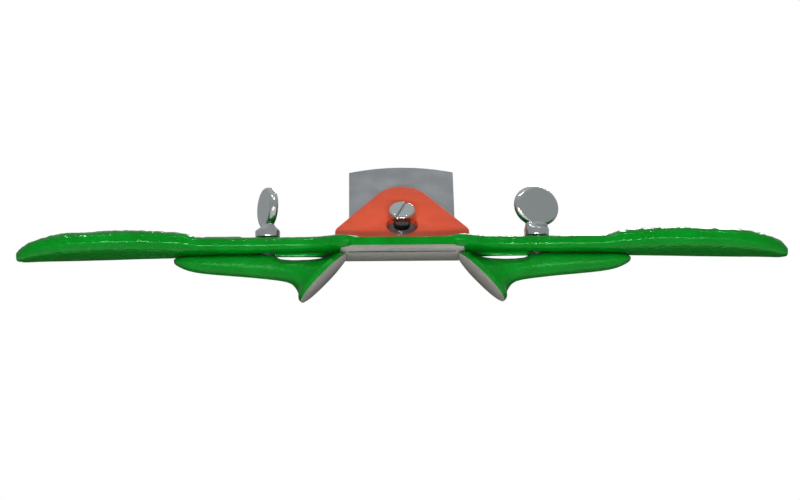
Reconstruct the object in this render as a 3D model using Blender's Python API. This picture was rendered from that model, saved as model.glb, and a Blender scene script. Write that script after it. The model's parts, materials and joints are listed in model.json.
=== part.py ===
"""Chamfer spokeshave: a two-handled hand plane with a V of two sliding fences under its sole.

All lengths below are in millimetres and MM turns them into metres when a mesh is made.
The design frame has its origin in the middle of the sole: +X runs along the handles,
-Y is the toe (the side that leads a push stroke) and +Z is up. The bed frame lies on the
slope that carries the iron: x across, s up the slope from the sole line and d off the bed.
The whole design hangs on one empty, which stands the tool on its fence toes with the
origin under the middle of its bounding box.
"""

import math

import bmesh
import bpy
from mathutils import Matrix, Vector

MM = 0.001
GAP = 0.3  # seating gap between separate pieces

# Sole and toe
TOE_LENGTH = 15.0  # from the middle of the sole
HEEL_LENGTH = 16.2
SOLE_HALF_WIDTH = 20.5
TOE_HALF_WIDTH = 18.3  # at the front edge
TOE_CORNER_LENGTH = 12.0
TOE_HEIGHT = 3.0
TOE_BACK_HEIGHT = 3.3
FOOT_HEIGHT = 3.0

# Bed, iron and cap iron
BED_ANGLE = math.radians(50)
BED_FOOT_Y = 1.0  # where the bed plane meets the sole
BED_LENGTH = 24.0
BED_THICKNESS = 4.5
BED_HALF_WIDTH = 18.0
IRON_WIDTH = 38.0
IRON_THICKNESS = 2.2
IRON_TOP = 46.6
IRON_TOP_RISE = 3.0
IRON_BEVEL = math.radians(30)
IRON_SLOT_WIDTH = 6.0
IRON_SLOT_ENDS = (12.8, 25.0)
EDGE_CLEARANCE = 0.1  # height of the cutting edge over the sole
MOUTH_OPENING = 0.4  # ahead of the cutting edge
BEVEL_CLEARANCE = 0.38  # height of the iron's bevel over the body behind the mouth
REAR_LIP = 1.25  # from the cutting edge back to the mouth's rear lip
THROAT_HALF_WIDTH = 19.5
CAP_THICKNESS = 3.0
CAP_HALF_WIDTH = 24.0
CAP_BOTTOM = 0.5
CAP_SHOULDER = 7.0
CAP_TOP = 31.4
CAP_TOP_RADIUS = 10.5
CAP_CORNER_RADIUS = 3.0
KEYHOLE_RADIUS = 5.5
KEYHOLE_CENTRE = 9.0
KEYHOLE_SLOT_WIDTH = 5.8
POCKET_HALF_WIDTH = CAP_HALF_WIDTH + 0.7
POCKET_FLOOR = 1.75
POCKET_FRONT_Y = -5.5

# Cap screw
SCREW_S = 13.8
SHANK_RADIUS = 2.5
TAPPED_RADIUS = SHANK_RADIUS + GAP
HEAD_RADIUS = 4.75
HEAD_HEIGHT = 3.2
HEAD_CHAMFER = 0.6
DRIVE_SLOT_WIDTH = 0.9
DRIVE_SLOT_DEPTH = 1.2
DRIVE_SLOT_TURN = math.radians(22)  # from straight up the bed

# Handles
HANDLE_HALF_LENGTH = 137.5
NECK_BOTTOM = -0.7
NECK_TOP = 5.1
SLOT_WIDTH = 5.6
SLOT_ENDS = (30.8, 50.2)  # centres of the slot's round ends, from the middle

# Fences and their thumb screws
FENCE_APEX = 19.2  # where the 45 degree face would meet the sole plane
FENCE_TOP = NECK_BOTTOM - GAP
FENCE_DEPTH = 16.8  # from the sole down to the toe
FENCE_SCREW_X = 48.0
FENCE_HOLE_BOTTOM = -7.6
SCREW_TIP = -7.2
COLLAR_RADIUS = 4.5
COLLAR_HEIGHT = 2.7
STEM_HEIGHT = 5.9
DISC_HALF_WIDTH = 9.3
DISC_HALF_HEIGHT = 7.3
DISC_THICKNESS = 3.4
DISC_CENTRE = 11.1  # above the handle
LEFT_DISC_TURN = math.radians(-72)
RIGHT_DISC_TURN = math.radians(32)

RING_POINTS = 20

# (distance from the middle, half width, underside, top) along one handle
HANDLE_STATIONS = (
    (15.0, 13.6, 0.2, 4.2),
    (18.5, 14.7, -0.1, 4.8),
    (21.5, 14.8, -0.4, NECK_TOP),
    (25.0, 13.2, -0.6, NECK_TOP),
    (28.5, 10.6, NECK_BOTTOM, NECK_TOP),
    (33.0, 9.0, NECK_BOTTOM, NECK_TOP),
    (40.0, 8.5, NECK_BOTTOM, NECK_TOP),
    (55.0, 8.4, NECK_BOTTOM, NECK_TOP),
    (69.0, 8.6, NECK_BOTTOM, 5.2),
    (73.5, 9.0, NECK_BOTTOM, 5.4),
    (77.0, 9.8, NECK_BOTTOM, 6.7),
    (83.0, 10.9, NECK_BOTTOM, 7.2),
    (93.0, 12.5, NECK_BOTTOM, 7.6),
    (104.0, 13.2, -0.9, 7.5),
    (113.0, 12.9, -1.1, 6.9),
    (119.0, 12.3, -1.3, 6.8),
    (125.0, 10.8, -1.5, 6.0),
    (131.0, 8.3, -1.9, 4.5),
    (135.0, 5.4, -2.3, 2.9),
    (HANDLE_HALF_LENGTH, 2.4, -2.1, 0.8),
)

# (distance from the middle, half width, underside, top) along one fence arm
ARM_STATIONS = (
    (46.5, 6.2, -9.15, FENCE_TOP + 0.2),
    (54.0, 6.2, -8.3, FENCE_TOP + 0.2),
    (64.0, 6.2, -7.4, FENCE_TOP + 0.1),
    (71.0, 5.8, -6.7, FENCE_TOP),
    (76.0, 5.1, -5.8, FENCE_TOP),
    (79.5, 4.1, -4.4, FENCE_TOP - 0.2),
    (81.5, 2.2, -3.1, FENCE_TOP - 0.7),
)
ARM_OFFSET = 1.5  # the arm sits this far behind its screw

# (top x, top z, bottom x, bottom z, half width, offset) of the flare from the arm to the face
FLARE_STATIONS = (
    (43.5, -2.0, 43.5, -9.5, 6.6, 1.6),
    (39.5, -2.4, 40.8, -10.1, 7.2, 1.7),
    (35.5, -2.4, 38.9, -11.2, 8.4, 1.9),
    (31.5, -2.2, 37.7, -12.9, 10.0, 2.2),
    (27.5, -1.6, 37.2, -14.2, 11.6, 2.4),
    (24.0, -0.6, 37.2, -15.0, 12.6, 2.5),
)

# The plate behind each 45 degree face
PLATE_THICKNESS = 1.7
PLATE_HALF_WIDTH = 13.5
PLATE_OFFSET = 2.5
PLATE_TOP = -0.8
PLATE_BOTTOM = -17.05


def clear_scene():
    for obj in list(bpy.data.objects):
        bpy.data.objects.remove(obj)


def make_material(name, colour, metallic, roughness):
    material = bpy.data.materials.new(name)
    material.use_nodes = True
    shader = material.node_tree.nodes["Principled BSDF"]
    shader.inputs["Base Color"].default_value = (*colour, 1)
    shader.inputs["Metallic"].default_value = metallic
    shader.inputs["Roughness"].default_value = roughness
    return material


def make_object(name, bm, parent, material=None, place=None):
    """An object from bm, whose points are in millimetres in its own frame."""
    bmesh.ops.recalc_face_normals(bm, faces=bm.faces)
    bm.transform(Matrix.Scale(MM, 4))
    mesh = bpy.data.meshes.new(name)
    bm.to_mesh(mesh)
    bm.free()
    mesh.shade_smooth()
    mesh.set_sharp_from_angle(angle=math.radians(35))
    obj = bpy.data.objects.new(name, mesh)
    bpy.context.scene.collection.objects.link(obj)
    obj.parent = parent
    if place is not None:
        obj.matrix_local = place
    if material:
        mesh.materials.append(material)
    else:
        obj.hide_render = True
        obj.display_type = "WIRE"
    return obj


def combine(target, helper, operation):
    """Cuts or joins a helper into the target with a Boolean."""
    modifier = target.modifiers.new(helper.name, "BOOLEAN")
    modifier.operation = operation
    modifier.object = helper


def loft(rings):
    """A closed solid through rings of equal length."""
    bm = bmesh.new()
    made = [[bm.verts.new(point) for point in ring] for ring in rings]
    count = len(made[0])
    for ring, following in zip(made, made[1:]):
        for i in range(count):
            j = (i + 1) % count
            bm.faces.new((ring[i], ring[j], following[j], following[i]))
    bm.faces.new(made[0])
    bm.faces.new(made[-1])
    return bm


def prism(outline, low, high, to_point):
    """An outline drawn in two dimensions, extruded from low to high."""
    return loft([[to_point(u, v, w) for u, v in outline] for w in (low, high)])


def along_x(y, z, x):
    return Vector((x, y, z))


def along_z(x, y, z):
    return Vector((x, y, z))


def arc(centre, radius, start, end, steps):
    """Points on an arc, with angles in degrees."""
    angles = [math.radians(start + (end - start) * i / steps) for i in range(steps + 1)]
    return [(centre[0] + radius * math.cos(a), centre[1] + radius * math.sin(a)) for a in angles]


def slot_outline(low, high, radius, across=0.0):
    """A round-ended slot along the second coordinate, from low to high between its centres."""
    return arc((across, high), radius, 0, 180, 12) + arc((across, low), radius, 180, 360, 12)


def on_bed(s, d):
    """The (y, z) of a point s up the bed and d off it."""
    y = BED_FOOT_Y + s * math.cos(BED_ANGLE) - d * math.sin(BED_ANGLE)
    z = s * math.sin(BED_ANGLE) + d * math.cos(BED_ANGLE)
    return (y, z)


def bed_frame():
    """The bed frame: x across, y up the slope and z off the bed, in metres."""
    return Matrix.Translation(Vector((0, BED_FOOT_Y * MM, 0))) @ Matrix.Rotation(BED_ANGLE, 4, "X")


def edge_s():
    """How far down the bed the cutting edge is, which is on the iron's upper face."""
    upper = GAP + IRON_THICKNESS
    return (EDGE_CLEARANCE - upper * math.cos(BED_ANGLE)) / math.sin(BED_ANGLE)


def superellipse(angle, power):
    """A point on a superellipse of half size 1."""
    c = math.cos(angle)
    s = math.sin(angle)
    return (
        math.copysign(abs(c) ** (2 / power), c),
        math.copysign(abs(s) ** (2 / power), s),
    )


def ring_angles():
    return [2 * math.pi * (i + 0.5) / RING_POINTS for i in range(RING_POINTS)]


def bar_ring(x, half_width, low, high):
    """A handle's section, squarer above than below."""
    middle = (low + high) / 2
    half_height = (high - low) / 2
    points = [superellipse(a, 3.2 if math.sin(a) > 0 else 3.0) for a in ring_angles()]
    return [Vector((x, half_width * c, middle + half_height * s)) for c, s in points]


def smooth_stations(stations, pieces):
    """The stations with Catmull-Rom points between them."""
    made = []
    for i in range(len(stations) - 1):
        rows = [stations[max(i - 1, 0)], stations[i], stations[i + 1]]
        rows.append(stations[min(i + 2, len(stations) - 1)])
        for step in range(pieces):
            t = step / pieces
            weights = (
                (-t + 2 * t**2 - t**3) / 2,
                (2 - 5 * t**2 + 3 * t**3) / 2,
                (t + 4 * t**2 - 3 * t**3) / 2,
                (-(t**2) + t**3) / 2,
            )
            made.append([sum(w * v for w, v in zip(weights, column)) for column in zip(*rows)])
    made.append(list(stations[-1]))
    return made


def handle_loft(side):
    rings = [
        bar_ring(side * x, half_width, low, high)
        for x, half_width, low, high in smooth_stations(HANDLE_STATIONS, 2)
    ]
    return loft(rings)


def centre_outline():
    """The side profile of the middle casting: toe, foot and bed plate."""
    plate_back = on_bed(10.0, -BED_THICKNESS)
    return [
        (-TOE_LENGTH, 0),
        (HEEL_LENGTH, 0),
        (HEEL_LENGTH, FOOT_HEIGHT),
        plate_back,
        on_bed(BED_LENGTH, -BED_THICKNESS),
        on_bed(BED_LENGTH, 0),
        on_bed(7.0, 0),
        (-1.0, 4.4),
        (-6.5, TOE_BACK_HEIGHT + 0.6),
        (-TOE_LENGTH, TOE_HEIGHT),
    ]


def sole_plan():
    """The plan of the middle casting, which draws in at the corners of the toe."""
    steps = 8
    right = [(TOE_HALF_WIDTH, -TOE_LENGTH - 1)]
    for i in range(steps + 1):
        t = i / steps
        widening = (SOLE_HALF_WIDTH + 1 - TOE_HALF_WIDTH) * math.sin(math.pi * t / 2)
        right.append((TOE_HALF_WIDTH + widening, t * TOE_CORNER_LENGTH - TOE_LENGTH))
    right.append((SOLE_HALF_WIDTH + 1, 40.0))
    return right + [(-x, y) for x, y in reversed(right)]


def bed_trim_outline():
    """The face outline of the bed plate, wide at the foot and rounded at the top."""
    corner = 5.0
    top = BED_LENGTH
    right = arc((BED_HALF_WIDTH - corner, top - corner), corner, 0, 90, 6)
    left = [(-x, s) for x, s in reversed(right)]
    wide = SOLE_HALF_WIDTH + 1
    return [(wide, -20), (wide, 10)] + right + left + [(-wide, 10), (-wide, -20)]


def gusset(side):
    """The shoulder that ties the bed plate to a handle behind the cap iron."""
    inner = [(3.0, 2.0), (12.9, 2.0), (12.3, 7.6), (7.5, 9.4)]
    outer = [(-2.0, 2.0), (6.0, 2.0), (6.0, 4.4), (0.0, 4.7)]
    rings = [
        [Vector((side * x, y, z)) for y, z in ring]
        for x, ring in ((15.0, inner), (21.0, inner), (26.3, outer))
    ]
    return loft(rings)


def throat_outline():
    """The side profile of the opening that holds the iron, down through the mouth.

    Its back runs down the bed, then just under the iron's bevel to the mouth's rear lip.
    """
    edge_y = on_bed(edge_s(), GAP + IRON_THICKNESS)[0]
    mouth_y = edge_y - MOUTH_OPENING
    rise = math.tan(BED_ANGLE - IRON_BEVEL)
    under_edge = EDGE_CLEARANCE - BEVEL_CLEARANCE
    steep = math.tan(BED_ANGLE)
    meet_y = (under_edge - rise * edge_y + steep * BED_FOOT_Y) / (steep - rise)
    meet_z = steep * (meet_y - BED_FOOT_Y)
    lip_y = edge_y + REAR_LIP
    return [
        (mouth_y, -2.0),
        (mouth_y, 0.6),
        (POCKET_FRONT_Y, 3.5),
        (POCKET_FRONT_Y, 40.0),
        on_bed(60.0, 30.0),
        on_bed(60.0, 0),
        (meet_y, meet_z),
        (lip_y, under_edge + rise * REAR_LIP),
        (lip_y, -2.0),
    ]


def pocket_outline():
    """The side profile of the wider pocket for the cap iron's corners."""
    depth = IRON_THICKNESS + GAP - 0.3
    foot_s = (POCKET_FLOOR - depth * math.cos(BED_ANGLE)) / math.sin(BED_ANGLE)
    return [
        (POCKET_FRONT_Y, POCKET_FLOOR),
        on_bed(foot_s, depth),
        on_bed(60.0, depth),
        on_bed(60.0, 30.0),
        (POCKET_FRONT_Y, 40.0),
    ]


def build_body(frame, material):
    centre = prism(centre_outline(), -SOLE_HALF_WIDTH, SOLE_HALF_WIDTH, along_x)
    body = make_object("body", centre, frame, material)
    plan = prism(sole_plan(), -5.0, 60.0, along_z)
    combine(body, make_object("sole_trim", plan, frame), "INTERSECT")
    trim = prism(bed_trim_outline(), -60.0, 60.0, along_z)
    combine(body, make_object("bed_trim", trim, frame, place=bed_frame()), "INTERSECT")
    for side, word in ((-1, "left"), (1, "right")):
        combine(body, make_object(f"{word}_handle", handle_loft(side), frame), "UNION")
        combine(body, make_object(f"{word}_gusset", gusset(side), frame), "UNION")
    throat = prism(throat_outline(), -THROAT_HALF_WIDTH, THROAT_HALF_WIDTH, along_x)
    combine(body, make_object("throat_cut", throat, frame), "DIFFERENCE")
    pocket = prism(pocket_outline(), -POCKET_HALF_WIDTH, POCKET_HALF_WIDTH, along_x)
    combine(body, make_object("pocket_cut", pocket, frame), "DIFFERENCE")
    hole = prism(arc((0, SCREW_S), TAPPED_RADIUS, 0, 345, 23), -12.0, 12.0, along_z)
    combine(body, make_object("tapped_hole", hole, frame, place=bed_frame()), "DIFFERENCE")
    for side, word in ((-1, "left"), (1, "right")):
        outline = [(side * y, x) for x, y in slot_outline(*SLOT_ENDS, SLOT_WIDTH / 2)]
        slot = prism(outline, -12.0, 12.0, along_z)
        combine(body, make_object(f"{word}_slot", slot, frame), "DIFFERENCE")
    return body


def iron_outline():
    """The iron's flat outline, with a crowned top end."""
    half = IRON_WIDTH / 2
    radius = (half**2 + IRON_TOP_RISE**2) / (2 * IRON_TOP_RISE)
    reach = math.degrees(math.asin(half / radius))
    top = arc((0, IRON_TOP - radius), radius, 90 - reach, 90 + reach, 16)
    return [(-half, edge_s()), (half, edge_s())] + top


def build_iron(frame, material):
    plate = prism(iron_outline(), GAP, GAP + IRON_THICKNESS, along_z)
    iron = make_object("iron", plate, frame, material, bed_frame())
    slot = prism(slot_outline(*IRON_SLOT_ENDS, IRON_SLOT_WIDTH / 2), -5.0, 10.0, along_z)
    combine(iron, make_object("iron_slot", slot, frame, place=bed_frame()), "DIFFERENCE")
    run = IRON_THICKNESS / math.tan(IRON_BEVEL)
    low = edge_s()
    bevel_outline = [
        (low - run, GAP - IRON_THICKNESS),
        (low + 2 * run, GAP - IRON_THICKNESS),
        (low, GAP + IRON_THICKNESS + 0.001),
        (low - run, GAP + IRON_THICKNESS + 0.001),
    ]
    bevel = prism(bevel_outline, -IRON_WIDTH, IRON_WIDTH, along_x)
    combine(iron, make_object("iron_bevel", bevel, frame, place=bed_frame()), "DIFFERENCE")
    return iron


def cap_outline():
    """The cap iron's outline: a wide foot, straight flanks and a round head."""
    centre = (0.0, CAP_TOP - CAP_TOP_RADIUS)
    away = math.hypot(CAP_HALF_WIDTH, centre[1] - CAP_SHOULDER)
    slope = math.atan2(CAP_SHOULDER - centre[1], CAP_HALF_WIDTH)
    touch = math.degrees(slope + math.acos(CAP_TOP_RADIUS / away))
    head = arc(centre, CAP_TOP_RADIUS, touch, 180 - touch, 16)
    corner = arc(
        (CAP_HALF_WIDTH - CAP_CORNER_RADIUS, CAP_BOTTOM + CAP_CORNER_RADIUS),
        CAP_CORNER_RADIUS,
        -90,
        0,
        6,
    )
    shoulder = [
        (CAP_HALF_WIDTH - 0.1, CAP_SHOULDER - 0.8),
        (CAP_HALF_WIDTH - 0.6, CAP_SHOULDER + 0.5),
    ]
    right = corner + shoulder
    left = [(-x, s) for x, s in reversed(right)]
    return right + head + left


def keyhole_outline():
    """A round hole that passes the screw head, with a narrow slot up from it."""
    half = KEYHOLE_SLOT_WIDTH / 2
    opening = math.degrees(math.asin(half / KEYHOLE_RADIUS))
    lower = arc((0, KEYHOLE_CENTRE), KEYHOLE_RADIUS, 90 + opening, 450 - opening, 24)
    upper = arc((0, SCREW_S + 0.2), half, 0, 180, 10)
    return lower + upper


def build_cap_iron(frame, material):
    low = 2 * GAP + IRON_THICKNESS
    plate = prism(cap_outline(), low, low + CAP_THICKNESS, along_z)
    cap = make_object("cap_iron", plate, frame, material, bed_frame())
    keyhole = prism(keyhole_outline(), -2.0, 15.0, along_z)
    combine(cap, make_object("keyhole", keyhole, frame, place=bed_frame()), "DIFFERENCE")
    bevel = cap.modifiers.new("edges", "BEVEL")
    bevel.width = 0.35 * MM
    bevel.segments = 2
    bevel.limit_method = "ANGLE"
    bevel.angle_limit = math.radians(60)
    return cap


def oval_ring(half_x, half_y, z, steps):
    angles = [2 * math.pi * i / steps for i in range(steps)]
    return [Vector((half_x * math.cos(a), half_y * math.sin(a), z)) for a in angles]


def turned(profile, steps):
    """A solid turned about Z from (radius, height) points, both ends closed on flat discs."""
    return loft([oval_ring(radius, radius, z, steps) for radius, z in profile])


def build_cap_screw(frame, material):
    seat = 3 * GAP + IRON_THICKNESS + CAP_THICKNESS
    top = seat + HEAD_HEIGHT
    profile = [
        (SHANK_RADIUS - 0.4, -BED_THICKNESS + 0.3),
        (SHANK_RADIUS, -BED_THICKNESS + 0.8),
        (SHANK_RADIUS, seat),
        (HEAD_RADIUS - 0.2, seat),
        (HEAD_RADIUS, seat + 0.3),
        (HEAD_RADIUS, top - HEAD_CHAMFER),
        (HEAD_RADIUS - HEAD_CHAMFER, top),
    ]
    place = bed_frame() @ Matrix.Translation(Vector((0, SCREW_S * MM, 0)))
    screw = make_object("cap_screw", turned(profile, 32), frame, material, place)
    half = DRIVE_SLOT_WIDTH / 2
    outline = [(-half, -9.0), (half, -9.0), (half, 9.0), (-half, 9.0)]
    slot = prism(outline, top - DRIVE_SLOT_DEPTH, top + 2, along_z)
    turn = place @ Matrix.Rotation(-DRIVE_SLOT_TURN, 4, "Z")
    combine(screw, make_object("drive_slot", slot, frame, place=turn), "DIFFERENCE")
    return screw


def flare_ring(side, top_x, top_z, bottom_x, bottom_z, half_width, offset, top_power=2.3):
    """A ring on a slanted line between two points, squarer above with a higher power."""
    ring = []
    for angle in ring_angles():
        c, s = superellipse(angle, top_power if math.sin(angle) > 0 else 2.3)
        t = (1 - s) / 2
        x = top_x + (bottom_x - top_x) * t
        y = half_width * c + offset
        ring.append(Vector((side * x, y, top_z + (bottom_z - top_z) * t)))
    return ring


def plate_ring(side, behind):
    """The outline of the plate, this far behind its 45 degree face."""
    shift = behind * math.sqrt(0.5)
    top = (FENCE_APEX - PLATE_TOP + shift, PLATE_TOP + shift)
    bottom = (FENCE_APEX - PLATE_BOTTOM + shift, PLATE_BOTTOM + shift)
    return flare_ring(side, *top, *bottom, PLATE_HALF_WIDTH, PLATE_OFFSET)


def fence_loft(side):
    rings = []
    for x, half_width, low, high in reversed(smooth_stations(ARM_STATIONS, 2)):
        rings.append(flare_ring(side, x, high, x, low, half_width, ARM_OFFSET, 3.5))
    for station in smooth_stations(FLARE_STATIONS, 2):
        rings.append(flare_ring(side, *station))
    rings.append(plate_ring(side, PLATE_THICKNESS))
    rings.append(plate_ring(side, -1.5))
    return loft(rings)


def build_fence(name, side, frame, material):
    fence = make_object(name, fence_loft(side), frame, material)
    reach = 60.0
    face = [
        (side * (FENCE_APEX - 10), 10.0),
        (side * (FENCE_APEX + reach), -reach),
        (side * -reach, -reach),
        (side * -reach, 10.0),
    ]
    v_cut = prism(face, -30.0, 30.0, lambda x, z, y: Vector((x, y, z)))
    combine(fence, make_object(f"{name}_v_cut", v_cut, frame), "DIFFERENCE")
    square = [(-100.0, -30.0), (100.0, -30.0), (100.0, 30.0), (-100.0, 30.0)]
    toe_cut = prism(square, -FENCE_DEPTH - 10, -FENCE_DEPTH, along_z)
    combine(fence, make_object(f"{name}_toe_cut", toe_cut, frame), "DIFFERENCE")
    top_cut = prism(square, FENCE_TOP, FENCE_TOP + 10, along_z)
    combine(fence, make_object(f"{name}_top_cut", top_cut, frame), "DIFFERENCE")
    outline = arc((side * FENCE_SCREW_X, 0), TAPPED_RADIUS, 0, 345, 23)
    hole = prism(outline, FENCE_HOLE_BOTTOM, 5.0, along_z)
    combine(fence, make_object(f"{name}_hole", hole, frame), "DIFFERENCE")
    return fence


def thumb_disc():
    """The upright oval disc, lying flat on its own axis."""
    half = DISC_THICKNESS / 2
    edge = [(1.5, -half), (0.5, 0.4 - half), (0.0, 1.1 - half)]
    edge += [(inset, -z) for inset, z in reversed(edge)]
    return loft([
        oval_ring(DISC_HALF_WIDTH - inset, DISC_HALF_HEIGHT - 0.6 * inset, z, 32)
        for inset, z in edge
    ])


def build_thumb_screw(name, side, turn, frame, material):
    """Shank and collar, a stem pinched from the collar to the disc, and the disc."""
    seat = NECK_TOP + GAP
    sections = [
        (SHANK_RADIUS - 0.4, SHANK_RADIUS - 0.4, SCREW_TIP),
        (SHANK_RADIUS, SHANK_RADIUS, SCREW_TIP + 0.5),
        (SHANK_RADIUS, SHANK_RADIUS, seat),
        (COLLAR_RADIUS - 0.3, COLLAR_RADIUS - 0.3, seat),
        (COLLAR_RADIUS - 0.1, COLLAR_RADIUS - 0.1, seat + 0.4),
        (COLLAR_RADIUS, COLLAR_RADIUS, seat + COLLAR_HEIGHT),
        (COLLAR_RADIUS, COLLAR_RADIUS - 0.7, seat + COLLAR_HEIGHT + 0.5),
        (COLLAR_RADIUS + 0.1, DISC_THICKNESS / 2 + 0.4, seat + STEM_HEIGHT - 1.4),
        (COLLAR_RADIUS - 0.3, DISC_THICKNESS / 2 - 0.2, seat + STEM_HEIGHT),
    ]
    place = Matrix.Translation(Vector((side * FENCE_SCREW_X * MM, 0, 0)))
    place = place @ Matrix.Rotation(turn, 4, "Z")
    stem = loft([oval_ring(*section, 24) for section in sections])
    screw = make_object(name, stem, frame, material, place)
    lift = Matrix.Translation(Vector((0, 0, (seat + DISC_CENTRE) * MM)))
    stand = lift @ Matrix.Rotation(math.pi / 2, 4, "X")
    disc = make_object(f"{name}_disc", thumb_disc(), frame, place=place @ stand)
    combine(screw, disc, "UNION")
    return screw


def design_frame():
    """The empty that stands the tool on its fence toes, centred under its bounding box."""
    iron_back = on_bed(IRON_TOP, GAP)[0]
    frame = bpy.data.objects.new("design_frame", None)
    bpy.context.scene.collection.objects.link(frame)
    frame.location = (0, (TOE_LENGTH - iron_back) / 2 * MM, FENCE_DEPTH * MM)
    return frame


def main():
    clear_scene()
    green = make_material("green_enamel", (0.0, 0.27, 0.015), 0.0, 0.25)
    red = make_material("red_enamel", (0.58, 0.075, 0.03), 0.0, 0.4)
    steel = make_material("ground_steel", (0.42, 0.43, 0.44), 1.0, 0.38)
    plated = make_material("nickel_plate", (0.62, 0.63, 0.64), 1.0, 0.2)
    frame = design_frame()
    build_body(frame, green)
    build_iron(frame, steel)
    build_cap_iron(frame, red)
    build_cap_screw(frame, plated)
    build_fence("left_fence", -1, frame, green)
    build_fence("right_fence", 1, frame, green)
    build_thumb_screw("left_thumb_screw", -1, LEFT_DISC_TURN, frame, plated)
    build_thumb_screw("right_thumb_screw", 1, RIGHT_DISC_TURN, frame, plated)


main()
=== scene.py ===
"""Looks of the chamfer spokeshave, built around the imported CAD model.

The castings are remeshed from their CAD solids, softened as sand castings are, given the
texture of painted iron and then ground flat again where the real ones are ground. The
plates and screws get rounded edges. Lengths are in metres, in the row frame.
"""

import json
import math

import bmesh
import bpy
import numpy as np
from mathutils import Matrix, Vector, noise

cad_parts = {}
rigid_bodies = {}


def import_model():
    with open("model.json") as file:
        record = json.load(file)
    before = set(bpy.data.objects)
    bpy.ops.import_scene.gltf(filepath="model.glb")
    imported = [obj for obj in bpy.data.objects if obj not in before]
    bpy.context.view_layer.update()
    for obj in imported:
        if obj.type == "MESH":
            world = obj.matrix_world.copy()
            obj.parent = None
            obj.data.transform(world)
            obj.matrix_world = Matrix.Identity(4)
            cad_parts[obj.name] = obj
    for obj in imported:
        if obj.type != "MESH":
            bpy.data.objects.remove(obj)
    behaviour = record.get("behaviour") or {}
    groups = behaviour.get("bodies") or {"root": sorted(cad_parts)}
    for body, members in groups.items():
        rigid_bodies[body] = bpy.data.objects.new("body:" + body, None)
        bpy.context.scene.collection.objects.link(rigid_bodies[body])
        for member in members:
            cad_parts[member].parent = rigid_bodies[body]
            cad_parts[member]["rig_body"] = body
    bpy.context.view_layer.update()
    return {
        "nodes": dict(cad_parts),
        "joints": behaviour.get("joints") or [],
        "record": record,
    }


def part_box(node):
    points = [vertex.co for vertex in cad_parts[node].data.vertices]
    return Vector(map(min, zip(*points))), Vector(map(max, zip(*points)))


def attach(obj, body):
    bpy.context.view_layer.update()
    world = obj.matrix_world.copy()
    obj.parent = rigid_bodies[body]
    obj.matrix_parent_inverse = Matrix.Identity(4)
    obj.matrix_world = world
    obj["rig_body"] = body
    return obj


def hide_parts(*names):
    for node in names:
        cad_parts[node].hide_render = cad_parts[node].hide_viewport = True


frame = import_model()

MM = 0.001
JOINTS = {joint["name"]: joint for joint in frame["joints"]}
MOUNTS = {mount["name"]: mount for mount in frame["record"]["mounts"]}

# Where the CAD model puts things
SOLE_Z = MOUNTS["sole_toe"]["pos_m"][2]
MIDDLE_Y = JOINTS["right_thumb_screw_turn"]["pos_m"][1]
SOLE_MIDDLE = Vector((0, MIDDLE_Y, SOLE_Z))
BED_UP = Vector(JOINTS["iron_depth"]["axis"])
BED_NORMAL = Vector(JOINTS["cap_screw_turn"]["axis"])

# Softening: each grid's spacing, and how many rounds of smoothing follow
CASTING_VOXEL = 0.45 * MM
CASTING_ROUNDS = 6
THUMB_SCREW_VOXEL = 0.22 * MM
THUMB_SCREW_ROUNDS = 8
CAP_SCREW_VOXEL = 0.13 * MM
CAP_SCREW_ROUNDS = 36

# Plates: how wide their rounded edges are
IRON_EDGE = 0.15 * MM
CAP_IRON_EDGE = 0.4 * MM

# Casting
GROUND_ALLOWANCE = 1.2 * MM  # metal left on a casting's flat before it is ground
FLAT_TOLERANCE = 0.02 * MM  # a CAD point this near a flat lies on it
SOLE_REACH = 21 * MM  # the CAD sole ends inside this distance from the middle
SOLE_HALF_WIDTH = 20.2 * MM  # of the ground face at its front and back ends
SOLE_BULGE = 1.9 * MM
SOLE_SPARE = 2 * MM  # of the grinder past the toe and past the heel
TOE_LENGTH = 15.0 * MM
HEEL_LENGTH = 16.2 * MM
GRIP_START = 73.0 * MM
NECK_TOP_Z = SOLE_Z + 5.1 * MM
# Below this the thumb screws take the dark thread material, whose darkness is partly painted shade
# for the gap under the necks.
THREAD_TOP_Z = SOLE_Z + 0.3 * MM  # the thumb screws are dark below this

# Texture of the castings: size of its bumps, and depths
COARSE_GRAIN = 2.6 * MM
FINE_GRAIN = 1.1 * MM
GRIP_DEPTH = 0.36 * MM
NECK_DEPTH = 0.16 * MM
FENCE_DEPTH = 0.1 * MM

# Bed and mouth
BED_FOOT = SOLE_MIDDLE + Vector((0, 1.0 * MM, 0))  # where the bed would meet the sole
MOUTH = (-2.85 * MM, -1.2 * MM, 19.5 * MM)  # both lips, from the middle, and half width
IRON_BEVEL = math.radians(30)
FRONT_LIP_HEIGHT = 0.5 * MM  # of the mouth's upright front wall
REAR_LIP_HEIGHT = 0.175 * MM  # of the mouth's rear lip over the sole
BARE_SIDE = 0.3 * MM  # unpainted metal reaches this far past the mouth's ends
BARE_AHEAD = 0.4 * MM  # past its front lip
BARE_BEHIND = 0.6 * MM  # past its rear lip
BARE_HEIGHT = 1.0 * MM  # and above the sole
BED_TOLERANCE = 0.3 * MM  # a face this near the bed's plane belongs to the bed
PANEL = (57.5 * MM, 70.0 * MM, 4.6 * MM, 0.35 * MM)  # from, to, half width, height

# Camera
CAMERA_DISTANCE = 1.2
CAMERA_AZIMUTH = math.radians(-0.55)
CAMERA_ELEVATION = math.radians(-10.8)
CAMERA_ROLL = math.radians(-0.5)
CAMERA_AIM = SOLE_MIDDLE + Vector((-0.84, 0, 0.95)) * MM
FRAME_WIDTH = 285.3 * MM  # across the view at the aim point

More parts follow.
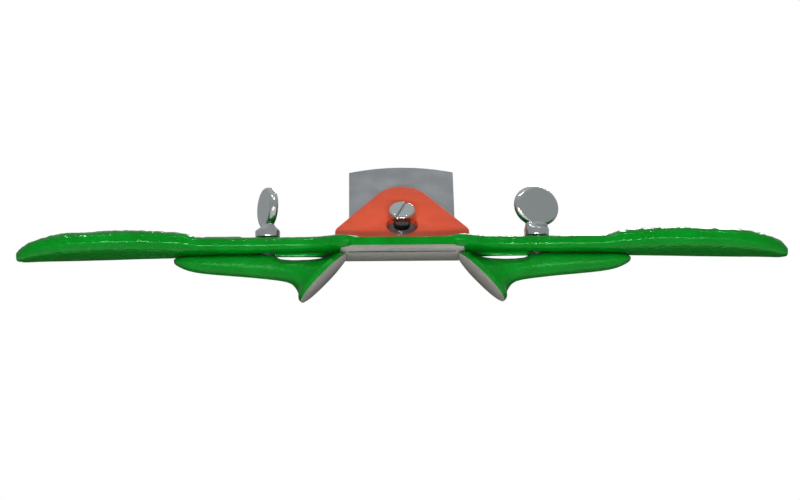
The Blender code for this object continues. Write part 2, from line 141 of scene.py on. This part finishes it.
# Studio
FLOOR_Z = -0.25
FLOOR_FRONT = -3.0
FLOOR_BACK = 0.28
FLOOR_SIDE = 2
FLOOR_GREY = 0.72
ROOM = [(-1.0, 0.5), (0.0, 0.38), (0.4, 0.42), (1.0, 0.57)]  # (height of a direction, grey)
ROOM_TINT = (0.94, 0.98, 1.0)
BEHIND = (0.66, 0.88, 0.07)  # low down behind, the room fades between these to this share
LIGHTS = [  # name, place, width and height, watts, seen in reflections
    ("key", (-0.35, -0.6, 1.15), (0.1, 0.06), 3.5, True),
    ("fill", (0.4, -0.8, 1.0), (0.08, 0.06), 1.8, True),
    ("strip", (0.0, -0.75, -0.22), (0.5, 0.02), 2.5, True),
    ("under", (0.0, -0.7, -0.21), (0.8, 0.06), 4, False),
    ("back", (0.3, 1.1, 0.9), (0.5, 0.3), 6, True),
]


# ---------------------------------------------------------------- meshes

def link(name, mesh):
    obj = bpy.data.objects.new(name, mesh)
    bpy.context.scene.collection.objects.link(obj)
    return obj


def link_bmesh(name, bm):
    """A linked object with the mesh of bm, which is used up."""
    mesh = bpy.data.meshes.new(name)
    bm.to_mesh(mesh)
    bm.free()
    return link(name, mesh)


def cad_bmesh(node):
    """The CAD node's solid, with the points that its file repeats made one again."""
    bm = bmesh.new()
    bm.from_mesh(frame["nodes"][node].data)
    bmesh.ops.remove_doubles(bm, verts=bm.verts, dist=0.002 * MM)
    return bm


def evaluated(obj):
    """Applies obj's modifiers."""
    graph = bpy.context.evaluated_depsgraph_get()
    mesh = bpy.data.meshes.new_from_object(obj.evaluated_get(graph))
    old = obj.data
    obj.modifiers.clear()
    obj.data = mesh
    bpy.data.meshes.remove(old)
    return obj


def remesh(obj, voxel, rounds):
    """Rebuilds obj on a fine grid and softens it, as a casting's edges are soft."""
    grid = obj.modifiers.new("grid", "REMESH")
    grid.mode = "VOXEL"
    grid.voxel_size = voxel
    soft = obj.modifiers.new("soft", "SMOOTH")
    soft.factor = 0.5
    soft.iterations = rounds
    return evaluated(obj)


def coordinates(mesh):
    flat = np.empty(len(mesh.vertices) * 3, np.float32)
    mesh.vertices.foreach_get("co", flat)
    return flat.reshape(-1, 3)


def normals(mesh):
    flat = np.empty(len(mesh.vertices) * 3, np.float32)
    mesh.vertex_normals.foreach_get("vector", flat)
    return flat.reshape(-1, 3)


def set_coordinates(mesh, points):
    mesh.vertices.foreach_set("co", points.astype(np.float32).ravel())
    mesh.update()


def noise_field(points, size, seed):
    """Smooth noise from -1 to 1 at each point, with bumps about this size."""
    shift = Vector((seed * 7.3, seed * 3.1, seed * 5.7))
    return np.array([noise.noise(Vector(p) / size + shift) for p in points.tolist()])


def smoothstep(low, high, values):
    t = np.clip((values - low) / (high - low), 0, 1)
    return t * t * (3 - 2 * t)


def cut_flat(bm, point, normal):
    """Cuts away what lies beyond a plane and closes the cut with one flat face."""
    parts = list(bm.verts) + list(bm.edges) + list(bm.faces)
    cut = bmesh.ops.bisect_plane(
        bm, geom=parts, plane_co=point, plane_no=normal, clear_outer=True, dist=1e-7
    )
    rim = [e for e in cut["geom_cut"] if isinstance(e, bmesh.types.BMEdge)]
    filled = bmesh.ops.triangle_fill(bm, edges=rim, use_beauty=True, normal=normal)
    return [f for f in filled["geom"] if isinstance(f, bmesh.types.BMFace)]


def finish_mesh(obj, angle=40):
    obj.data.shade_smooth()
    obj.data.set_sharp_from_angle(angle=math.radians(angle))
    return obj


def place_piece(obj, node, slot, *materials):
    """obj stands for a CAD node and rides on that node's body."""
    faces = obj.data.polygons
    numbers = np.zeros(len(faces), np.int32)
    faces.foreach_get("material_index", numbers)
    obj.data.materials.clear()
    for material in materials:
        obj.data.materials.append(material)
    faces.foreach_set("material_index", numbers)
    body = frame["nodes"][node]["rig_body"]
    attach(obj, body)
    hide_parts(node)
    return obj


# ---------------------------------------------------------------- materials

class Shader:
    """A Principled material with its nodes at hand."""

    def __init__(self, name, colour, metallic, roughness):
        self.material = bpy.data.materials.new(name)
        self.material.use_nodes = True
        self.tree = self.material.node_tree
        self.principled = self.tree.nodes["Principled BSDF"]
        self.set("Base Color", (*colour, 1))
        self.set("Metallic", metallic)
        self.set("Roughness", roughness)
        self.millimetres = self.add("ShaderNodeMapping")
        self.millimetres.inputs["Scale"].default_value = (1 / MM,) * 3
        place = self.add("ShaderNodeTexCoord")
        self.join(place.outputs["Object"], self.millimetres.inputs["Vector"])

    def add(self, kind, **settings):
        node = self.tree.nodes.new(kind)
        for key, value in settings.items():
            setattr(node, key, value)
        return node

    def join(self, output, socket):
        self.tree.links.new(output, socket)

    def set(self, socket, value):
        self.principled.inputs[socket].default_value = value

    def stretched(self, scale):
        """Millimetre coordinates, scaled apart along each axis."""
        mapping = self.add("ShaderNodeMapping")
        mapping.inputs["Scale"].default_value = scale
        self.join(self.millimetres.outputs["Vector"], mapping.inputs["Vector"])
        return mapping.outputs["Vector"]

    def along_y(self):
        """The distance behind the middle of the sole, in millimetres."""
        split = self.add("ShaderNodeSeparateXYZ")
        self.join(self.millimetres.outputs["Vector"], split.inputs["Vector"])
        shift = self.add("ShaderNodeMath", operation="SUBTRACT")
        self.join(split.outputs["Y"], shift.inputs[0])
        shift.inputs[1].default_value = MIDDLE_Y / MM
        return shift.outputs["Value"]

    def multiplied(self, first, second):
        """The product of two colours: the mix node's inputs 6 and 7, and its output 2."""
        mix = self.add("ShaderNodeMix", data_type="RGBA", blend_type="MULTIPLY")
        mix.inputs["Factor"].default_value = 1.0
        self.join(first, mix.inputs[6])
        self.join(second, mix.inputs[7])
        return mix.outputs[2]

    def noise(self, scale, detail=3.0, roughness=0.5, vector=None):
        texture = self.add("ShaderNodeTexNoise")
        texture.inputs["Scale"].default_value = scale
        texture.inputs["Detail"].default_value = detail
        texture.inputs["Roughness"].default_value = roughness
        self.join(vector or self.millimetres.outputs["Vector"], texture.inputs["Vector"])
        return texture.outputs["Fac"]

    def ramp(self, value, stops):
        """A colour ramp through (position, colour) stops."""
        node = self.add("ShaderNodeValToRGB")
        elements = node.color_ramp.elements
        while len(elements) < len(stops):
            elements.new(0.5)
        for element, (position, colour) in zip(elements, stops):
            element.position = position
            element.color = (*colour, 1)
        self.join(value, node.inputs["Fac"])
        return node.outputs["Color"]

    def number(self, value, low, high, start=0.3, end=0.7):
        """The value rescaled from start..end to low..high."""
        node = self.add("ShaderNodeMapRange")
        node.inputs["From Min"].default_value = start
        node.inputs["From Max"].default_value = end
        node.inputs["To Min"].default_value = low
        node.inputs["To Max"].default_value = high
        self.join(value, node.inputs["Value"])
        return node.outputs["Result"]

    def bump(self, *layers):
        """Bumps from (height value, depth in millimetres) layers, each over the last."""
        normal = None
        for value, depth in layers:
            node = self.add("ShaderNodeBump")
            node.inputs["Strength"].default_value = 1.0
            node.inputs["Distance"].default_value = depth * MM
            self.join(value, node.inputs["Height"])
            if normal:
                self.join(normal, node.inputs["Normal"])
            normal = node.outputs["Normal"]
        self.join(normal, self.principled.inputs["Normal"])


def green_enamel(name, smoothest, roughest):
    """Thick enamel over sand-cast iron, with a roughness between these."""
    shader = Shader(name, (0.0, 0.17, 0.006), 0.0, smoothest)
    patches = shader.noise(0.12, 2.0)
    colour = shader.ramp(patches, [(0.3, (0.0, 0.13, 0.004)), (0.7, (0.0, 0.165, 0.008))])
    shader.join(colour, shader.principled.inputs["Base Color"])
    grain = shader.noise(1.6, 2.0, 0.5)
    roughness = shader.number(grain, smoothest, roughest)
    shader.join(roughness, shader.principled.inputs["Roughness"])
    shader.set("IOR", 1.25)
    shader.set("Specular IOR Level", 1.0)
    shader.set("Specular Tint", (0.4, 1.0, 0.55, 1))
    shader.bump((shader.noise(0.45, 2.0, 0.5), 0.3), (shader.noise(1.5, 2.0, 0.5), 0.07))
    return shader.material


def red_enamel():
    """Satin orange-red enamel on the cap iron."""
    shader = Shader("red_enamel", (0.6, 0.075, 0.032), 0.0, 0.4)
    patches = shader.noise(0.2, 2.0)
    colour = shader.ramp(patches, [(0.3, (0.5, 0.055, 0.021)), (0.7, (0.54, 0.065, 0.027))])
    shader.join(colour, shader.principled.inputs["Base Color"])
    shader.join(shader.number(shader.noise(1.2), 0.36, 0.48), shader.principled.inputs["Roughness"])
    shader.set("Specular Tint", (1.0, 0.5, 0.35, 1))
    shader.bump((shader.noise(1.1, 2.0, 0.4), 0.015))
    return shader.material


def ground_iron():
    """Bare cast iron, surface-ground along its length and stained, with painted shade darkening it
    towards the heel.
    """
    shader = Shader("ground_iron", (0.42, 0.4, 0.37), 0.6, 0.5)
    strokes = shader.noise(1.0, 4.0, 0.6, shader.stretched((0.08, 2.6, 0.08)))
    stains = shader.noise(0.35, 3.0, 0.55)
    bright = shader.ramp(strokes, [(0.3, (0.64, 0.61, 0.56)), (0.7, (0.82, 0.79, 0.74))])
    tint = shader.ramp(stains, [(0.35, (0.8, 0.84, 0.8)), (0.5, (1, 1, 1)), (0.68, (1, 0.92, 0.9))])
    # Painted shade: the colour darkens from 6 mm ahead of the sole's middle to 16 mm behind it,
    # towards the heel.
    heel = shader.number(shader.along_y(), 0.0, 1.0, -6.0, 16.0)
    painted_heel_shade = shader.ramp(heel, [(0.0, (0.92, 0.92, 0.92)), (1.0, (0.27, 0.27, 0.27))])
    colour = shader.multiplied(shader.multiplied(bright, tint), painted_heel_shade)
    shader.join(colour, shader.principled.inputs["Base Color"])
    shader.join(shader.number(strokes, 0.4, 0.58), shader.principled.inputs["Roughness"])
    shader.bump((strokes, 0.012), (shader.noise(2.0, 3.0), 0.008))
    return shader.material


def ground_steel():
    """Tool steel with fine grinding marks across the iron."""
    shader = Shader("ground_steel", (0.5, 0.51, 0.52), 0.55, 0.4)
    marks = shader.noise(1.0, 4.0, 0.6, shader.stretched((0.08, 4.0, 4.0)))
    clouds = shader.noise(0.15, 3.0)
    colour = shader.ramp(clouds, [(0.3, (0.24, 0.25, 0.263)), (0.7, (0.3, 0.308, 0.317))])
    shader.join(colour, shader.principled.inputs["Base Color"])
    shader.join(shader.number(marks, 0.32, 0.48), shader.principled.inputs["Roughness"])
    shader.bump((marks, 0.008))
    return shader.material


def nickel_plate():
    """Bright plating over a slightly uneven casting or turning."""
    shader = Shader("nickel_plate", (0.58, 0.6, 0.6), 1.0, 0.16)
    haze = shader.noise(0.5, 3.0)
    shader.join(shader.number(haze, 0.12, 0.22), shader.principled.inputs["Roughness"])
    shader.bump((shader.noise(0.6, 2.0, 0.4), 0.025))
    return shader.material


def thread_steel_and_shade():
    """The dull thread of a screw below its plated head. Its near-black colour is partly painted
    shade, for where the shank shows in the gap under the neck.
    """
    shader = Shader("thread_steel_and_shade", (0.06, 0.06, 0.06), 0.6, 0.5)
    turns = shader.noise(1.0, 2.0, 0.5, shader.stretched((0.3, 0.3, 2.0)))
    colour = shader.ramp(turns, [(0.35, (0.02, 0.02, 0.02)), (0.65, (0.08, 0.08, 0.08))])
    shader.join(colour, shader.principled.inputs["Base Color"])
    shader.bump((turns, 0.1))
    return shader.material


# ---------------------------------------------------------------- pieces

def sole_outline():
    """The plan of the ground sole, which bulges at its ends onto the round necks."""
    steps = 16
    length = TOE_LENGTH + HEEL_LENGTH + 2 * SOLE_SPARE
    side = []
    for i in range(steps + 1):
        t = i / steps
        bulge = math.sin(math.pi * t**0.85) ** 0.6
        x = SOLE_HALF_WIDTH + SOLE_BULGE * bulge
        side.append((x, t * length - TOE_LENGTH - SOLE_SPARE + MIDDLE_Y))
    return side + [(-x, y) for x, y in reversed(side)]


def prism(name, outline, low, high, place=Matrix.Identity(4)):
    """A cutter on a flat outline, upright unless it is placed otherwise."""
    bm = bmesh.new()
    rings = [[bm.verts.new((x, y, z)) for x, y in outline] for z in (low, high)]
    count = len(outline)
    for i in range(count):
        j = (i + 1) % count
        bm.faces.new((rings[0][i], rings[0][j], rings[1][j], rings[1][i]))
    bm.faces.new(rings[0])
    bm.faces.new(rings[1])
    bmesh.ops.recalc_face_normals(bm, faces=bm.faces)
    bm.transform(place)
    return link_bmesh(name, bm)


def subtract(obj, *cutters):
    """Cuts prisms out of obj, and gives the new faces material slot 1."""
    for holder in (obj, *cutters):
        holder.data.materials.clear()
        for _ in range(2):
            holder.data.materials.append(None)
    for cutter in cutters:
        for face in cutter.data.polygons:
            face.material_index = 1
        cut = obj.modifiers.new("cut", "BOOLEAN")
        cut.object = cutter
        cut.operation = "DIFFERENCE"
        cut.material_mode = "INDEX"
    evaluated(obj)
    for cutter in cutters:
        bpy.data.objects.remove(cutter)
    return obj


def mouth_cutter():
    """The mouth, milled through the sole and up under the iron's bevel to the bed."""
    front, rear, half_width = MOUTH
    steep = BED_UP.z / BED_UP.y
    slope = math.tan(math.atan(steep) - IRON_BEVEL)
    foot = BED_FOOT.y - MIDDLE_Y
    meet = (steep * foot + REAR_LIP_HEIGHT - slope * rear) / (steep - slope)
    profile = [
        (front, -MM),
        (front, FRONT_LIP_HEIGHT),
        (meet, steep * (meet - foot)),
        (rear, REAR_LIP_HEIGHT),
        (rear, -MM),
    ]
    along_x = Matrix(((0, 0, 1), (1, 0, 0), (0, 1, 0))).to_4x4()
    place = Matrix.Translation(SOLE_MIDDLE) @ along_x
    return prism("mouth", profile, -half_width, half_width, place)


def stipple(obj, grip_depth, plain_depth):
    """Sinks the surface of a casting a little, unevenly, and more so on the grips."""
    mesh = obj.data
    points = coordinates(mesh)
    facing = normals(mesh)
    coarse = noise_field(points, COARSE_GRAIN, 1)
    fine = noise_field(points, FINE_GRAIN, 2)
    rough = 0.6 * coarse + 0.4 * fine
    grip = smoothstep(GRIP_START - 3 * MM, GRIP_START + 4 * MM, np.abs(points[:, 0]))
    upper = smoothstep(0.1, 0.6, facing[:, 2])
    depth = (plain_depth + (grip_depth - plain_depth) * grip) * (0.1 + 0.9 * upper)
    shift = depth * (rough - 0.3 * grip)
    set_coordinates(mesh, points + facing * shift[:, None])


def bare_mouth(obj):
    """Leaves the bed and the walls of the mouth unpainted, as they are milled."""
    mesh = obj.data
    count = len(mesh.polygons)
    centres = np.empty(count * 3, np.float32)
    facing = np.empty(count * 3, np.float32)
    numbers = np.zeros(count, np.int32)
    mesh.polygons.foreach_get("center", centres)
    mesh.polygons.foreach_get("normal", facing)
    mesh.polygons.foreach_get("material_index", numbers)
    centres = centres.reshape(-1, 3)
    off_bed = (centres - np.array(BED_FOOT)) @ np.array(BED_NORMAL)
    up_bed = facing.reshape(-1, 3) @ np.array(BED_NORMAL)
    front, rear, half_width = MOUTH
    inside = np.abs(centres[:, 0]) < half_width + BARE_SIDE
    bed = inside & (np.abs(off_bed) < BED_TOLERANCE) & (up_bed > 0.7)
    back = centres[:, 1] - MIDDLE_Y
    near = (back > front - BARE_AHEAD) & (back < rear + BARE_BEHIND)
    mouth = inside & near & (centres[:, 2] < SOLE_Z + BARE_HEIGHT)
    numbers[bed | mouth] = 1
    mesh.polygons.foreach_set("material_index", numbers)


def body_piece(green, bare):
    bm = cad_bmesh("body")
    for vert in bm.verts:
        if abs(vert.co.z - SOLE_Z) < FLAT_TOLERANCE and abs(vert.co.x) < SOLE_REACH:
            vert.co.z -= GROUND_ALLOWANCE
    start, end, half, rise = PANEL
    for side in (-1, 1):
        for_panel = Matrix.Translation((side * (start + end) / 2, MIDDLE_Y, NECK_TOP_Z - MM))
        for_panel @= Matrix.Diagonal((end - start, 2 * half, 2 * (MM + rise), 1))
        bmesh.ops.create_cube(bm, size=1.0, matrix=for_panel)
    obj = remesh(link_bmesh("body_casting", bm), CASTING_VOXEL, CASTING_ROUNDS)
    stipple(obj, GRIP_DEPTH, NECK_DEPTH)
    grinder = prism("sole_grind", sole_outline(), SOLE_Z - 5 * MM, SOLE_Z)
    subtract(obj, grinder, mouth_cutter())
    bare_mouth(obj)
    finish_mesh(obj)
    return place_piece(obj, "body", "green_enamel", green, bare)


def fence_piece(node, green, bare):
    """A fence, with its 45 degree face and the top of its arm ground flat after softening."""
    mount = MOUNTS[node + "_face"]
    point = Vector(mount["pos_m"])
    outward = Vector(mount["axis"])
    bm = cad_bmesh(node)
    arm_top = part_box(node)[1][2]
    beyond_both = Vector(((1 - outward.z) / outward.x, 0, 1))
    for vert in bm.verts:
        on_top = abs(vert.co.z - arm_top) < FLAT_TOLERANCE
        on_face = abs((vert.co - point).dot(outward)) < FLAT_TOLERANCE
        if on_top and on_face:
            vert.co += beyond_both * GROUND_ALLOWANCE
        elif on_top:
            vert.co.z += GROUND_ALLOWANCE
        elif on_face:
            vert.co += outward * GROUND_ALLOWANCE
    obj = remesh(link_bmesh(node + "_casting", bm), CASTING_VOXEL, CASTING_ROUNDS)
    stipple(obj, FENCE_DEPTH, FENCE_DEPTH)
    bm = bmesh.new()
    bm.from_mesh(obj.data)
    cut_flat(bm, (0, 0, arm_top), (0, 0, 1))
    for face in cut_flat(bm, point, outward):
        face.material_index = 1
    bm.to_mesh(obj.data)
    bm.free()
    finish_mesh(obj)
    return place_piece(obj, node, "green_enamel", green, bare)


def rounded_plate(node, width, segments, slot, material):
    """A CAD plate with its edges rounded over."""
    bm = cad_bmesh(node)
    bmesh.ops.dissolve_limit(bm, angle_limit=math.radians(1), verts=bm.verts, edges=bm.edges)
    obj = link_bmesh(node + "_plate", bm)
    bevel = obj.modifiers.new("edges", "BEVEL")
    bevel.width = width
    bevel.segments = segments
    bevel.limit_method = "ANGLE"
    bevel.angle_limit = math.radians(40)
    evaluated(obj)
    finish_mesh(obj)
    return place_piece(obj, node, slot, material)


def soft_screw(node, voxel, rounds):
    """A CAD screw with all its edges softened, as plating leaves them."""
    return remesh(link_bmesh(node + "_plated", cad_bmesh(node)), voxel, rounds)


def cap_screw_piece(plated):
    obj = soft_screw("cap_screw", CAP_SCREW_VOXEL, CAP_SCREW_ROUNDS)
    finish_mesh(obj, angle=60)
    return place_piece(obj, "cap_screw", "nickel_plate", plated)


def thumb_screw_piece(node, plated, thread_and_shade):
    """A cast thumb screw, with its disc, stem and collar run softly into each other."""
    obj = soft_screw(node, THUMB_SCREW_VOXEL, THUMB_SCREW_ROUNDS)
    # Faces below THREAD_TOP_Z take the thread material, whose near-black colour is partly painted
    # shade.
    for face in obj.data.polygons:
        face.material_index = int(face.center.z < THREAD_TOP_Z)
    finish_mesh(obj)
    return place_piece(obj, node, "nickel_plate", plated, thread_and_shade)


# ---------------------------------------------------------------- studio

def camera():
    """A long lens just below the sole, square to the toe."""
    azimuth, elevation = CAMERA_AZIMUTH, CAMERA_ELEVATION
    back = Vector((
        math.sin(azimuth) * math.cos(elevation),
        -math.cos(azimuth) * math.cos(elevation),
        math.sin(elevation),
    ))
    level = (-back).cross(Vector((0, 0, 1))).normalized()
    upright = level.cross(-back)
    across = level * math.cos(CAMERA_ROLL) + upright * math.sin(CAMERA_ROLL)
    up = upright * math.cos(CAMERA_ROLL) - level * math.sin(CAMERA_ROLL)
    data = bpy.data.cameras.new("camera")
    data.sensor_width = 36.0
    data.lens = data.sensor_width * CAMERA_DISTANCE / FRAME_WIDTH
    data.clip_end = 20.0
    obj = bpy.data.objects.new("camera", data)
    bpy.context.scene.collection.objects.link(obj)
    turn = Matrix((across, up, back)).transposed().to_4x4()
    obj.matrix_world = Matrix.Translation(CAMERA_AIM + back * CAMERA_DISTANCE) @ turn
    bpy.context.scene.camera = obj


def area_light(name, place, size, power, glossy):
    data = bpy.data.lights.new(name, "AREA")
    data.shape = "RECTANGLE"
    data.size, data.size_y = size
    data.energy = power
    obj = bpy.data.objects.new(name, data)
    bpy.context.scene.collection.objects.link(obj)
    obj.location = place
    obj.visible_camera = False
    obj.visible_glossy = glossy
    obj.rotation_euler = (SOLE_MIDDLE - Vector(place)).to_track_quat("-Z", "Y").to_euler()


def floor():
    """A pale bench top some way below, because the camera looks up at the sole."""
    bm = bmesh.new()
    corners = [(-FLOOR_SIDE, FLOOR_FRONT), (FLOOR_SIDE, FLOOR_FRONT)]
    corners += [(FLOOR_SIDE, FLOOR_BACK), (-FLOOR_SIDE, FLOOR_BACK)]
    bm.faces.new([bm.verts.new((x, y, 0)) for x, y in corners])
    obj = link_bmesh("floor", bm)
    obj.location.z = FLOOR_Z
    material = bpy.data.materials.new("floor")
    material.use_nodes = True
    shader = material.node_tree.nodes["Principled BSDF"]
    shader.inputs["Base Color"].default_value = (FLOOR_GREY, FLOOR_GREY, FLOOR_GREY, 1)
    shader.inputs["Roughness"].default_value = 0.8
    obj.data.materials.append(material)


def room_colour(tree, height):
    """The room's grey at a direction's height, which is -1 straight down and 1 straight up."""
    share = tree.nodes.new("ShaderNodeMath")
    share.operation = "MULTIPLY_ADD"
    share.inputs[1].default_value = 0.5
    share.inputs[2].default_value = 0.5
    ramp = tree.nodes.new("ShaderNodeValToRGB")
    elements = ramp.color_ramp.elements
    for _ in ROOM[2:]:
        elements.new(0.5)
    for element, (level, grey) in zip(elements, ROOM):
        element.position = (level + 1) / 2
        element.color = (*(grey * part for part in ROOM_TINT), 1)
    tree.links.new(height, share.inputs[0])
    tree.links.new(share.outputs["Value"], ramp.inputs["Fac"])
    return ramp.outputs["Color"]


def room_strength(tree, direction):
    """Full strength, except that it fades in directions low down behind."""
    start, end, share_left = BEHIND
    behind = tree.nodes.new("ShaderNodeMath")
    behind.operation = "SUBTRACT"
    fade = tree.nodes.new("ShaderNodeMapRange")
    fade.interpolation_type = "SMOOTHSTEP"
    fade.inputs["From Min"].default_value = start
    fade.inputs["From Max"].default_value = end
    fade.inputs["To Min"].default_value = 1.0
    fade.inputs["To Max"].default_value = share_left
    tree.links.new(direction["Y"], behind.inputs[0])
    tree.links.new(direction["Z"], behind.inputs[1])
    tree.links.new(behind.outputs["Value"], fade.inputs["Value"])
    return fade.outputs["Result"]


def world():
    """White behind the object, and a softer room above and around it for the light."""
    studio = bpy.data.worlds.new("studio")
    bpy.context.scene.world = studio
    studio.use_nodes = True
    tree = studio.node_tree
    place = tree.nodes.new("ShaderNodeTexCoord")
    split = tree.nodes.new("ShaderNodeSeparateXYZ")
    tree.links.new(place.outputs["Generated"], split.inputs["Vector"])
    room = tree.nodes.new("ShaderNodeBackground")
    tree.links.new(room_colour(tree, split.outputs["Z"]), room.inputs["Color"])
    tree.links.new(room_strength(tree, split.outputs), room.inputs["Strength"])
    backdrop = tree.nodes["Background"]
    backdrop.inputs["Color"].default_value = (1, 1, 1, 1)
    backdrop.inputs["Strength"].default_value = 1.0
    path = tree.nodes.new("ShaderNodeLightPath")
    mix = tree.nodes.new("ShaderNodeMixShader")
    tree.links.new(path.outputs["Is Camera Ray"], mix.inputs["Fac"])
    tree.links.new(room.outputs["Background"], mix.inputs[1])
    tree.links.new(backdrop.outputs["Background"], mix.inputs[2])
    tree.links.new(mix.outputs["Shader"], tree.nodes["World Output"].inputs["Surface"])


def main():
    glossy = green_enamel("green_enamel", 0.07, 0.13)
    satin = green_enamel("fence_enamel", 0.3, 0.4)
    red, bare = red_enamel(), ground_iron()
    steel, plated, thread_and_shade = ground_steel(), nickel_plate(), thread_steel_and_shade()
    camera()
    body_piece(glossy, bare)
    fence_piece("left_fence", satin, bare)
    fence_piece("right_fence", satin, bare)
    rounded_plate("iron", IRON_EDGE, 2, "ground_steel", steel)
    rounded_plate("cap_iron", CAP_IRON_EDGE, 3, "red_enamel", red)
    cap_screw_piece(plated)
    thumb_screw_piece("left_thumb_screw", plated, thread_and_shade)
    thumb_screw_piece("right_thumb_screw", plated, thread_and_shade)
    bpy.context.scene.view_settings.view_transform = "Standard"
    world()
    floor()
    for light in LIGHTS:
        area_light(*light)


main()
